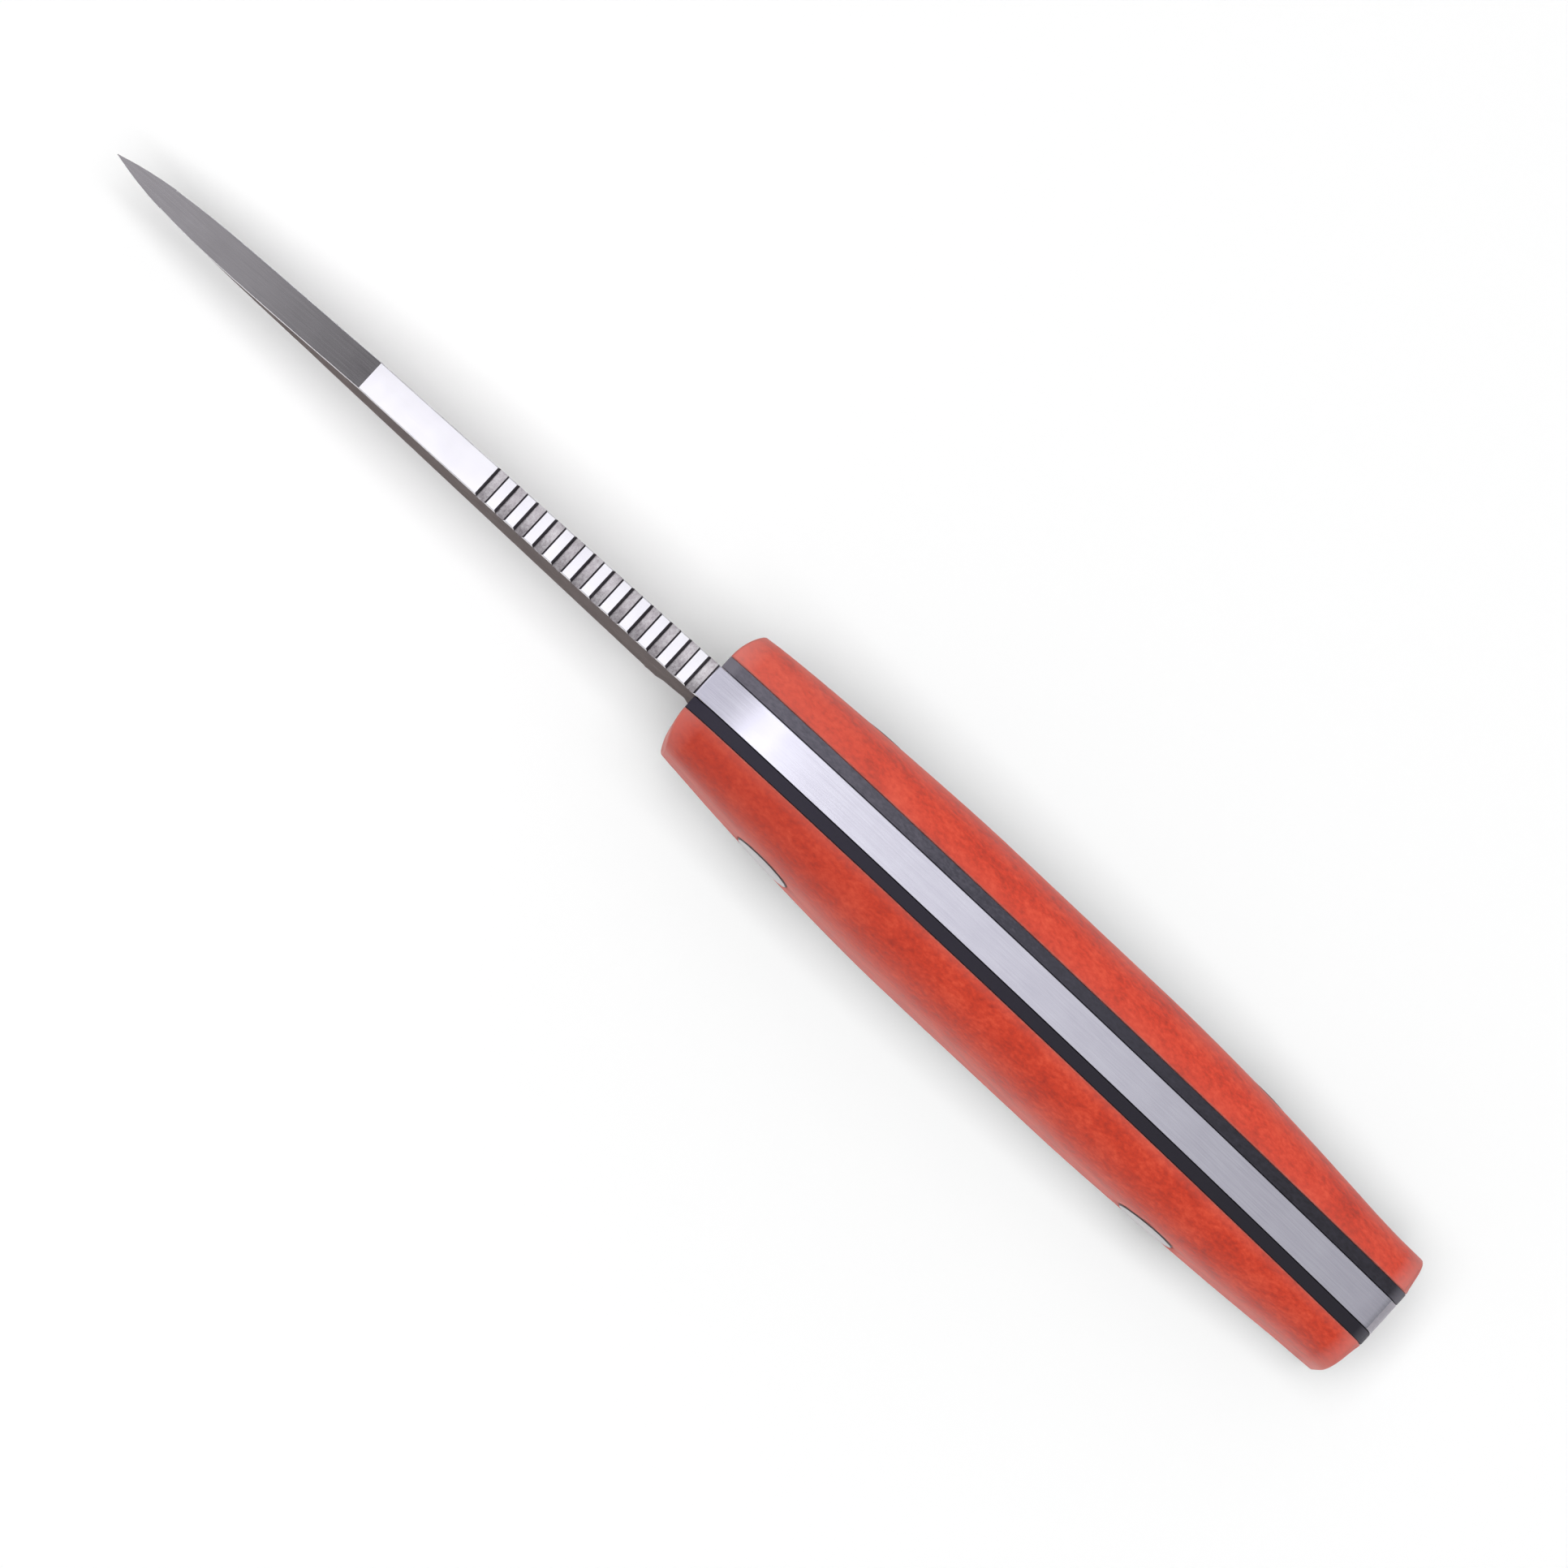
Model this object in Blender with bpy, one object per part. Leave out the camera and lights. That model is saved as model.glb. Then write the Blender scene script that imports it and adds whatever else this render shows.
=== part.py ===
"""A full-tang hunting knife, built up as it comes apart on a bench.

The knife is held edge down, as in use: +X runs to the tip, +Y out of the left side of the handle and
+Z up to the spine. Sections are worked out from the handle's front, where the scales meet the blade:
"back" is the distance behind it, "ahead" the distance in front of it, "depth" the distance below the
highest point of the handle's back and "height" the distance out to the left of the middle plane.
Pieces are drawn lying on their side, with depth along Y and height along Z, and turned edge down together.
"""

from math import asin, atan, cos, pi, radians, sin, sqrt

import bmesh
import bpy
from mathutils import Matrix

MM = 0.001

# Overall lengths, measured from the handle's front
BLADE_LENGTH = 80.5
HANDLE_LENGTH = 96.0

# Steel: stock, spine and clip
STOCK = 4.0
STOCK_TAPER = 0.4
SPINE_FALL = 0.13
CLIP_START = 46.2
CLIP_DROP = 9.5
CLIP_HOLLOW = 0.8
NOSE_FULLNESS = 5.0
TIP_WIDTH = 0.12

# Steel: edge, belly of the blade and the grinds
EDGE_DEPTH = 25.5
EDGE_WIDTH = 0.08
EDGE_SHOULDER = 0.5
SHARPENED_RISE = 0.9
BELLY_START = 42.0
BELLY_FULLNESS = 2.2
GRIND_DROP_AT_PLUNGE = 7.6
GRIND_DROP_AT_SWEEP = 6.3
GRIND_SWEEP_RUN = 4.5
GRIND_PAST_CLIP = 3.3
CLIP_LAND = 0.3
PLUNGE_START = 3.8
PLUNGE_LENGTH = 2.8

# Thumb notches on the spine
NOTCH_COUNT = 12
NOTCH_PITCH = 2.6
NOTCH_WIDTH = 1.05
NOTCH_DEPTH = 0.7
NOTCH_GAP_TO_HANDLE = 0.35
NOTCH_SAW_RADIUS = 12.0

# Handle outline, seen from the side
BACK_CREST = 12.0
BUTT_DROP = 9.0
GROOVE_RADIUS = 9.9
GROOVE_BACK = 1.5
GROOVE_EXIT = 6.0
PALM_BACK = 45.0
PALM_DEPTH = 26.2
WAIST_FROM_BUTT = 24.0
WAIST_DEPTH = 25.7
BEAK_FROM_BUTT = 6.0
BEAK_DEPTH = 28.4
BUTT_ROUND_BACK = 1.2
BUTT_ROUND_BELLY = 5.0

# Handle thickness, seen from the spine
HANDLE_HALF = 9.5
FRONT_HALF = 7.75
BUTT_HALF = 7.4
PALM_FLAT_START = 34.0
PALM_FLAT_END = 58.0
PALM_FLAT_WIDTH = 5.0
FRONT_FLARE = 1.5
BUTT_FLARE = 1.6
SHOULDER_FULLNESS = 2.3
LINER = 1.4
BOND_LINE = 0.05
FRONT_BEVEL_LENGTH = 2.3
FRONT_BEVEL_DROP = 0.5
FRONT_SWEEP = 1.3
BUTT_SWEEP = 1.5
SWEEP_RUN = 9.0

# Two-piece through bolts and hidden dowels
FRONT_BOLT_BACK = 17.1
REAR_BOLT_BACK = 71.8
BOLT_HEAD = 7.0
BOLT_HEAD_SEAT = 2.4
BARREL = 5.0
BARREL_BORE = 3.4
SCREW = 3.0
SCREW_REACH = 9.0
FRONT_DOWEL_BACK = 7.0
REAR_DOWEL_BACK = 83.0
DOWEL = 3.0
DOWEL_REACH = 2.2
FIT_GAP = 0.2
END_GAP = 0.3

# Facets
HANDLE_STEP = 2.0
SHOULDER_STEPS = 14
ROUND_STEPS = 8
GROOVE_STEPS = 10
BLADE_STEP = 7.0
PLUNGE_STEP = 0.45
NOSE_STEPS = 16
CIRCLE_SIDES = 48
SAW_SIDES = 120
STATION_APART = 0.05
SHARP_FROM = radians(32)

HEEL = GROOVE_RADIUS - GROOVE_BACK
GRIND_END = CLIP_START + GRIND_PAST_CLIP
GRIND_SWEEP = GRIND_END - GRIND_SWEEP_RUN
TANG_HALF = STOCK / 2
LINER_INNER = TANG_HALF + BOND_LINE
LINER_OUTER = LINER_INNER + LINER
SCALE_INNER = LINER_OUTER + BOND_LINE
OVERRUN = 5.0

STEEL = ("satin_steel", (0.60, 0.59, 0.62, 1.0), 1.0, 0.32)
BOLT_STEEL = ("bolt_steel", (0.66, 0.65, 0.66, 1.0), 1.0, 0.28)
LINER_BLACK = ("liner_black", (0.018, 0.016, 0.024, 1.0), 0.0, 0.55)
SCALE_ORANGE = ("scale_orange", (0.66, 0.062, 0.026, 1.0), 0.0, 0.62)


def between(start, end, share):
    return start + (end - start) * share


def eased(start, end, start_slope, run, share):
    """A cubic from one value to the next that leaves at a slope and arrives level."""
    rise = 3 * share**2 - 2 * share**3
    leave = share**3 - 2 * share**2 + share
    return start + (end - start) * rise + start_slope * run * leave


def butt_rounding(back, radius):
    """How far a corner of this radius has drawn in the outline near the butt."""
    left = HANDLE_LENGTH - back
    if left >= radius:
        return 0.0
    return radius - sqrt(max(radius**2 - (radius - left) ** 2, 0.0))


def spine_at_front():
    return SPINE_FALL * BACK_CREST / 3


def back_depth(back):
    """Depth of the handle's back: level at its crest, curving down to the butt and to the spine."""
    if back < BACK_CREST:
        return spine_at_front() * ((BACK_CREST - back) / BACK_CREST) ** 3
    arch = BUTT_DROP * ((back - BACK_CREST) / (HANDLE_LENGTH - BACK_CREST)) ** 2
    return arch + butt_rounding(back, BUTT_ROUND_BACK)


def groove_depth(back):
    """Depth of the index finger's groove, an arc that ends square on the cutting edge's line."""
    return EDGE_DEPTH - sqrt(GROOVE_RADIUS**2 - (back - GROOVE_BACK) ** 2)


def belly_depth(back):
    """Depth of the handle's belly: finger groove, palm swell, waist and the beak at the butt."""
    waist_back = HANDLE_LENGTH - WAIST_FROM_BUTT
    beak_back = HANDLE_LENGTH - BEAK_FROM_BUTT
    if back <= GROOVE_EXIT:
        return groove_depth(back)
    if back <= PALM_BACK:
        start = groove_depth(GROOVE_EXIT)
        offset = GROOVE_EXIT - GROOVE_BACK
        slope = offset / sqrt(GROOVE_RADIUS**2 - offset**2)
        run = PALM_BACK - GROOVE_EXIT
        return eased(start, PALM_DEPTH, slope, run, (back - GROOVE_EXIT) / run)
    if back <= waist_back:
        run = waist_back - PALM_BACK
        return eased(PALM_DEPTH, WAIST_DEPTH, 0.0, run, (back - PALM_BACK) / run)
    if back <= beak_back:
        run = beak_back - waist_back
        depth = eased(WAIST_DEPTH, BEAK_DEPTH, 0.0, run, (back - waist_back) / run)
    else:
        depth = BEAK_DEPTH
    return depth - butt_rounding(back, BUTT_ROUND_BELLY)


def middle_depth(back):
    return (back_depth(back) + belly_depth(back)) / 2


def handle_half(back):
    """Half the handle's thickness: level along the palm flat, drawn in towards both ends."""
    if back < PALM_FLAT_START:
        share = (PALM_FLAT_START - back) / PALM_FLAT_START
        return HANDLE_HALF - (HANDLE_HALF - FRONT_HALF) * share**FRONT_FLARE
    if back > PALM_FLAT_END:
        share = (back - PALM_FLAT_END) / (HANDLE_LENGTH - PALM_FLAT_END)
        return HANDLE_HALF - (HANDLE_HALF - BUTT_HALF) * share**BUTT_FLARE
    return HANDLE_HALF


def front_bevel(back):
    """The eased front edge of the liners and scales, a short slope just behind the blade."""
    return FRONT_BEVEL_DROP * max(0.0, 1 - back / FRONT_BEVEL_LENGTH)


def steps(start, end, longest):
    """Evenly spaced values after start, up to and including end."""
    count = max(1, round(abs(end - start) / longest))
    return [between(start, end, (index + 1) / count) for index in range(count)]


def apart(stations):
    """The stations in order, without those that all but repeat the one before."""
    kept = []
    for station in sorted(stations):
        if not kept or station - kept[-1] > STATION_APART:
            kept.append(station)
    return kept


def handle_stations():
    """Distances behind the handle's front where sections are taken, front to butt."""
    corner = max(BUTT_ROUND_BACK, BUTT_ROUND_BELLY)
    stations = [0.0, FRONT_BEVEL_LENGTH]
    for stop in (GROOVE_EXIT, PALM_FLAT_START, PALM_FLAT_END, HANDLE_LENGTH - corner):
        stations += steps(stations[-1], stop, HANDLE_STEP)
    turns = [pi / 2 * (index + 1) / ROUND_STEPS for index in range(ROUND_STEPS)]
    return apart(stations + [HANDLE_LENGTH - corner * (1 - sin(turn)) for turn in turns])


def spine_depth(ahead):
    """Depth of the blade's spine: a straight fall to the clip, then the hollowed clip."""
    if ahead <= CLIP_START:
        return spine_at_front() + SPINE_FALL * ahead
    share = (ahead - CLIP_START) / (BLADE_LENGTH - CLIP_START)
    sag = 4 * CLIP_HOLLOW * share * (1 - share)
    return spine_depth(CLIP_START) + CLIP_DROP * share + sag


def edge_depth(ahead):
    """Depth of the blade's lower line: finger groove, straight edge, then the belly to the tip."""
    if ahead < HEEL:
        return groove_depth(-ahead)
    if ahead <= BELLY_START:
        return EDGE_DEPTH
    tip = spine_depth(BLADE_LENGTH)
    share = min((ahead - BELLY_START) / (BLADE_LENGTH - BELLY_START), 1.0)
    return tip + (EDGE_DEPTH - tip) * (1 - share**BELLY_FULLNESS)


def blade_half(ahead):
    """Half the blade's thickness at the spine, which the grinds thin out from the clip to the tip."""
    if ahead <= GRIND_END:
        return (STOCK - STOCK_TAPER * ahead / CLIP_START) / 2
    full = (STOCK - STOCK_TAPER * GRIND_END / CLIP_START) / 2
    share = (BLADE_LENGTH - ahead) / (BLADE_LENGTH - GRIND_END)
    return max(full * (1 - (1 - share) ** NOSE_FULLNESS), TIP_WIDTH / 2)


def grind_drop(ahead):
    """How far below the spine the flat flank ends and the grind begins."""
    if ahead <= GRIND_SWEEP:
        share = max(0.0, (ahead - PLUNGE_START) / (GRIND_SWEEP - PLUNGE_START))
        return between(GRIND_DROP_AT_PLUNGE, GRIND_DROP_AT_SWEEP, share)
    if ahead <= GRIND_END:
        share = (ahead - GRIND_SWEEP) / (GRIND_END - GRIND_SWEEP)
        return between(GRIND_DROP_AT_SWEEP, CLIP_LAND, 1 - sqrt(max(0.0, 1 - share**2)))
    return CLIP_LAND * blade_half(ahead) / blade_half(GRIND_END)


def lower_half(ahead):
    """Half the thickness that the grind leaves on the lower line: the stock at the ricasso, thin beyond."""
    half = blade_half(ahead)
    grind_top = spine_depth(ahead) + grind_drop(ahead)
    share = (EDGE_DEPTH - edge_depth(ahead)) / (EDGE_DEPTH - grind_top)
    ground = between(EDGE_SHOULDER / 2, half, min(share, 1.0)) if ahead < BELLY_START else EDGE_SHOULDER / 2
    plunge = min(max((ahead - PLUNGE_START) / PLUNGE_LENGTH, 0.0), 1.0)
    plunge = plunge**2 * (3 - 2 * plunge)
    return min(between(half, ground, plunge), half)


def blade_stations():
    """Distances in front of the handle where the blade's sections are taken, heel to tip."""
    start = asin(GROOVE_BACK / GROOVE_RADIUS)
    turns = [between(start, pi / 2, (index + 1) / GROOVE_STEPS) for index in range(GROOVE_STEPS)]
    stations = [GROOVE_RADIUS * sin(turn) - GROOVE_BACK for turn in turns]
    stations += [PLUNGE_START] + steps(PLUNGE_START, PLUNGE_START + PLUNGE_LENGTH, PLUNGE_STEP)
    heel = max(stations)
    for first, stop, longest in (
        (heel, BELLY_START, BLADE_STEP),
        (BELLY_START, GRIND_SWEEP, BLADE_STEP),
        (GRIND_SWEEP, CLIP_START, BLADE_STEP),
        (CLIP_START, GRIND_END, (GRIND_END - CLIP_START) / 3),
    ):
        stations += steps(first, stop, longest)
    nose = BLADE_LENGTH - GRIND_END
    turns = [pi / 2 * (index + 1) / NOSE_STEPS for index in range(NOSE_STEPS)]
    stations += [BLADE_LENGTH - nose * (1 - sin(turn)) for turn in turns]
    return apart(stations)


def point(ahead, depth, height):
    """A point of the knife lying on its side, in metres from the handle's front."""
    return (ahead * MM, depth * MM, height * MM)


def make_collection(name):
    collection = bpy.data.collections.new(name)
    bpy.context.scene.collection.children.link(collection)
    return collection


def clear_scene():
    for leftover in list(bpy.data.objects):
        bpy.data.objects.remove(leftover, do_unlink=True)


def make_material(name, colour, metallic, roughness):
    material = bpy.data.materials.new(name)
    material.use_nodes = True
    shader = material.node_tree.nodes["Principled BSDF"]
    shader.inputs["Base Color"].default_value = colour
    shader.inputs["Metallic"].default_value = metallic
    shader.inputs["Roughness"].default_value = roughness
    material.diffuse_color = colour
    return material


def place(name, mesh, collection, parent, material=None):
    piece = bpy.data.objects.new(name, mesh)
    collection.objects.link(piece)
    piece.parent = parent
    if material is not None:
        mesh.materials.append(material)
    return piece


def hide_cutter(cutter):
    cutter.hide_render = True
    cutter.display_type = "WIRE"
    return cutter


def loft_mesh(name, rings):
    """A closed solid through sections whose points run down one side and back up the other."""
    mesh = bpy.data.meshes.new(name)
    shape = bmesh.new()
    loops = [[shape.verts.new(corner) for corner in ring] for ring in rings]
    size = len(rings[0])
    for near, far in zip(loops, loops[1:]):
        for index in range(size):
            after = (index + 1) % size
            shape.faces.new((near[index], near[after], far[after], far[index]))
    for cap in (loops[0], loops[-1]):
        for index in range(size // 2 - 1):
            shape.faces.new((cap[index], cap[index + 1], cap[size - 2 - index], cap[size - 1 - index]))
    bmesh.ops.recalc_face_normals(shape, faces=shape.faces)
    shape.to_mesh(mesh)
    shape.free()
    return mesh


def smooth(mesh):
    """Shade the curved faces round, keeping the edges that are sharp on the real piece."""
    mesh.shade_smooth()
    mesh.set_sharp_from_angle(angle=SHARP_FROM)
    return mesh


def cylinder_mesh(name, radius, bottom, top, sides=CIRCLE_SIDES):
    """An upright cylinder between two heights, on its own axis."""
    mesh = bpy.data.meshes.new(name)
    shape = bmesh.new()
    wide = radius * MM
    tall = (top - bottom) * MM
    bmesh.ops.create_cone(shape, cap_ends=True, segments=sides, radius1=wide, radius2=wide, depth=tall)
    bmesh.ops.translate(shape, verts=shape.verts, vec=(0.0, 0.0, (top + bottom) / 2 * MM))
    shape.to_mesh(mesh)
    shape.free()
    return smooth(mesh)


def boolean(piece, operation, other):
    modifier = piece.modifiers.new(operation.lower() + "_" + other.name, "BOOLEAN")
    modifier.operation = operation
    modifier.solver = "EXACT"
    modifier.object = other


def blade_section(ahead):
    """One section of the blade: flat flank, grind, and the sharpened edge from the heel to the tip."""
    half = blade_half(ahead)
    top = spine_depth(ahead)
    low = max(edge_depth(ahead), top + TIP_WIDTH)
    low_half = min(lower_half(ahead), half)
    knee = min(top + grind_drop(ahead), between(top, low, 0.5))
    knee_half = half if ahead <= GRIND_END else between(half, low_half, (knee - top) / (low - top))
    shoulder = low - min(SHARPENED_RISE, (low - knee) / 2)
    shoulder_half = between(knee_half, low_half, (shoulder - knee) / (low - knee))
    edge_half = low_half if ahead < HEEL - STATION_APART else min(EDGE_WIDTH / 2, low_half)
    left = [(top, half), (knee, knee_half), (shoulder, shoulder_half), (low, edge_half)]
    right = [(depth, -height) for depth, height in reversed(left)]
    return [point(ahead, depth, height) for depth, height in left + right]


def tang_section(back):
    top = back_depth(back)
    low = belly_depth(back)
    depths = [top, top + GRIND_DROP_AT_PLUNGE, low - SHARPENED_RISE, low]
    left = [(depth, TANG_HALF) for depth in depths]
    right = [(depth, -height) for depth, height in reversed(left)]
    return [point(-back, depth, height) for depth, height in left + right]


def make_notch_cutters(collection, parent):
    """A slitting saw's disc for each thumb notch, square to the spine and spaced forward from the handle."""
    lean = atan(SPINE_FALL)
    above = NOTCH_SAW_RADIUS - NOTCH_DEPTH
    cutters = []
    for index in range(NOTCH_COUNT):
        middle = NOTCH_GAP_TO_HANDLE + NOTCH_WIDTH / 2 + index * NOTCH_PITCH
        name = f"notch_saw_{index + 1}"
        mesh = cylinder_mesh(name, NOTCH_SAW_RADIUS, -NOTCH_WIDTH / 2, NOTCH_WIDTH / 2, SAW_SIDES)
        mesh.transform(Matrix.Rotation(lean, 4, "Z") @ Matrix.Rotation(pi / 2, 4, "Y"))
        cutter = place(name, mesh, collection, parent)
        centre = (middle + above * sin(lean), spine_depth(middle) - above * cos(lean))
        cutter.location = point(*centre, 0.0)
        cutters.append(hide_cutter(cutter))
    return cutters


def make_through_hole(name, back, diameter, reach, collection, parent):
    """A round cutter through the handle's middle, reaching the same height on both sides."""
    hole = place(name, cylinder_mesh(name, diameter / 2 + FIT_GAP, -reach, reach), collection, parent)
    hole.location = point(-back, middle_depth(back), 0.0)
    return hide_cutter(hole)


def make_blade(collection, parent, material, cutters):
    rings = [tang_section(back) for back in reversed(handle_stations())]
    rings += [blade_section(ahead) for ahead in blade_stations()]
    blade = place("blade", loft_mesh("blade", rings), collection, parent, material)
    for cutter in cutters:
        boolean(blade, "DIFFERENCE", cutter)
    return blade


def make_liner(name, side, collection, parent, material, cutters):
    """A flat spacer with the tang's own outline, bonded between the tang and a scale."""
    outline = [(-back, back_depth(back) + front_bevel(back)) for back in handle_stations()]
    outline += [(-back, belly_depth(back)) for back in reversed(handle_stations())]
    curve = bpy.data.curves.new(name + "_outline", "CURVE")
    curve.dimensions = "2D"
    curve.fill_mode = "BOTH"
    curve.extrude = LINER / 2 * MM
    spline = curve.splines.new("POLY")
    spline.points.add(len(outline) - 1)
    for slot, (ahead, depth) in zip(spline.points, outline):
        slot.co = (ahead * MM, depth * MM, 0.0, 1.0)
    spline.use_cyclic_u = True
    drawn = bpy.data.objects.new(name + "_outline", curve)
    collection.objects.link(drawn)
    bpy.context.view_layer.update()
    graph = bpy.context.evaluated_depsgraph_get()
    mesh = bpy.data.meshes.new_from_object(drawn.evaluated_get(graph))
    mesh.name = name
    bpy.data.objects.remove(drawn, do_unlink=True)
    shape = bmesh.new()
    shape.from_mesh(mesh)
    bmesh.ops.remove_doubles(shape, verts=shape.verts, dist=0.001 * MM)
    bmesh.ops.recalc_face_normals(shape, faces=shape.faces)
    shape.to_mesh(mesh)
    shape.free()
    liner = place(name, mesh, collection, parent, material)
    liner.location = point(0.0, 0.0, side * (LINER_INNER + LINER_OUTER) / 2)
    for cutter in cutters:
        boolean(liner, "DIFFERENCE", cutter)
    return liner


def swept(station, outward):
    """A section's place along the handle, drawn in at both ends towards the outside."""
    to_front = max(0.0, 1 - station / SWEEP_RUN)
    to_butt = max(0.0, 1 - (HANDLE_LENGTH - station) / SWEEP_RUN)
    return station + (FRONT_SWEEP * to_front - BUTT_SWEEP * to_butt) * outward**2


def scale_section(station, side):
    """One section of a scale: flush at the back and belly, rounded shoulders, flat along the palm."""
    rise = handle_half(station) - SCALE_INNER
    shoulder = []
    for index in range(SHOULDER_STEPS + 1):
        turn = pi / 2 * index / SHOULDER_STEPS
        inward = abs(cos(turn)) ** (2 / SHOULDER_FULLNESS) if index < SHOULDER_STEPS else 0.0
        outward = sin(turn) ** (2 / SHOULDER_FULLNESS)
        shoulder.append((inward, outward))
    corners = []
    for flat_side in (-1, 1):
        run = shoulder if flat_side < 0 else list(reversed(shoulder))
        for inward, outward in run:
            height = SCALE_INNER + rise * outward
            back = swept(station, outward)
            top = back_depth(back) + front_bevel(back)
            low = belly_depth(back)
            flat = (top + low + flat_side * PALM_FLAT_WIDTH) / 2
            limit = top if flat_side < 0 else low
            corners.append(point(-back, between(flat, limit, inward), side * height))
    return corners


def scale_mesh(name, side):
    return smooth(loft_mesh(name, [scale_section(station, side) for station in handle_stations()]))


def make_scale(name, side, collection, parent, material, cutters):
    scale = place(name, scale_mesh(name, side), collection, parent, material)
    for cutter in cutters:
        boolean(scale, "DIFFERENCE", cutter)
    return scale


def make_head_pocket(name, back, side, collection, parent):
    """The counterbore that a bolt's head sits in, from its seat out through the scale's face."""
    seat = SCALE_INNER + BOLT_HEAD_SEAT
    bottom, top = sorted((side * seat, side * (HANDLE_HALF + OVERRUN)))
    pocket = place(name, cylinder_mesh(name, BOLT_HEAD / 2 + FIT_GAP, bottom, top), collection, parent)
    pocket.location = point(-back, middle_depth(back), 0.0)
    return hide_cutter(pocket)


def make_bolt_half(name, back, side, shank, shank_end, blank, bore, collections, parent, material):
    """One half of a through bolt: a head ground flush with the scale, and its shank."""
    pieces, cutters = collections
    seat = SCALE_INNER + BOLT_HEAD_SEAT + END_GAP
    bottom, top = sorted((side * seat, side * (HANDLE_HALF + OVERRUN)))
    half = place(name, cylinder_mesh(name, BOLT_HEAD / 2, bottom, top), pieces, parent, material)
    half.location = point(-back, middle_depth(back), 0.0)
    boolean(half, "INTERSECT", blank)
    bottom, top = sorted((side * (seat + BOLT_HEAD_SEAT / 4), side * shank_end))
    stem = place(name + "_stem", cylinder_mesh(name + "_stem", shank / 2, bottom, top), cutters, parent)
    stem.location = half.location
    boolean(half, "UNION", hide_cutter(stem))
    if bore is not None:
        boolean(half, "DIFFERENCE", bore)
    return half


def make_bolt(name, back, blanks, collections, parent, material):
    """A through bolt: a barrel from the left scale, and a screw from the right scale into its bore."""
    pieces, cutters = collections
    right_seat = SCALE_INNER + BOLT_HEAD_SEAT + END_GAP
    barrel_end = right_seat - END_GAP - FIT_GAP
    bore_top = SCREW_REACH - right_seat + END_GAP
    bore_name = name + "_bore"
    bore = place(bore_name, cylinder_mesh(bore_name, BARREL_BORE / 2, -right_seat, bore_top), cutters, parent)
    bore.location = point(-back, middle_depth(back), 0.0)
    hide_cutter(bore)
    make_bolt_half(
        name + "_barrel", back, 1, BARREL, -barrel_end, blanks[1], bore, collections, parent, material
    )
    screw_end = right_seat - SCREW_REACH
    make_bolt_half(
        name + "_screw", back, -1, SCREW, screw_end, blanks[-1], None, collections, parent, material
    )


def make_dowel(name, back, collection, parent, material):
    """A plain pin that lines up tang, liners and scales, hidden under both scales."""
    reach = SCALE_INNER + DOWEL_REACH
    dowel = place(name, cylinder_mesh(name, DOWEL / 2, -reach, reach), collection, parent, material)
    dowel.location = point(-back, middle_depth(back), 0.0)
    return dowel


def main():
    clear_scene()
    pieces = make_collection("hunting_knife")
    cutters = make_collection("cutters")
    steel = make_material(*STEEL)
    bolt_steel = make_material(*BOLT_STEEL)
    liner_black = make_material(*LINER_BLACK)
    scale_orange = make_material(*SCALE_ORANGE)

    knife = bpy.data.objects.new("knife", None)
    pieces.objects.link(knife)
    knife.location = ((HANDLE_LENGTH - BLADE_LENGTH) / 2 * MM, 0.0, BEAK_DEPTH * MM)
    knife.rotation_euler = (-pi / 2, 0.0, 0.0)

    notches = make_notch_cutters(cutters, knife)
    through = HANDLE_HALF + OVERRUN
    barrel_holes = [
        make_through_hole("front_bolt_hole", FRONT_BOLT_BACK, BARREL, through, cutters, knife),
        make_through_hole("rear_bolt_hole", REAR_BOLT_BACK, BARREL, through, cutters, knife),
    ]
    dowel_top = SCALE_INNER + DOWEL_REACH + END_GAP
    dowel_holes = [
        make_through_hole("front_dowel_hole", FRONT_DOWEL_BACK, DOWEL, dowel_top, cutters, knife),
        make_through_hole("rear_dowel_hole", REAR_DOWEL_BACK, DOWEL, dowel_top, cutters, knife),
    ]
    holes = barrel_holes + dowel_holes

    make_blade(pieces, knife, steel, notches + holes)
    blanks = {}
    for side, hand in ((1, "left"), (-1, "right")):
        make_liner(hand + "_liner", side, pieces, knife, liner_black, holes)
        pockets = [
            make_head_pocket(hand + "_front_pocket", FRONT_BOLT_BACK, side, cutters, knife),
            make_head_pocket(hand + "_rear_pocket", REAR_BOLT_BACK, side, cutters, knife),
        ]
        make_scale(hand + "_scale", side, pieces, knife, scale_orange, holes + pockets)
        blank_name = hand + "_scale_blank"
        blanks[side] = hide_cutter(place(blank_name, scale_mesh(blank_name, side), cutters, knife))

    make_bolt("front_bolt", FRONT_BOLT_BACK, blanks, (pieces, cutters), knife, bolt_steel)
    make_bolt("rear_bolt", REAR_BOLT_BACK, blanks, (pieces, cutters), knife, bolt_steel)
    make_dowel("front_dowel", FRONT_DOWEL_BACK, pieces, knife, bolt_steel)
    make_dowel("rear_dowel", REAR_DOWEL_BACK, pieces, knife, bolt_steel)


main()
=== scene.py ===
from math import cos, radians, sin

import bpy
from mathutils import Matrix, Vector


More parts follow.
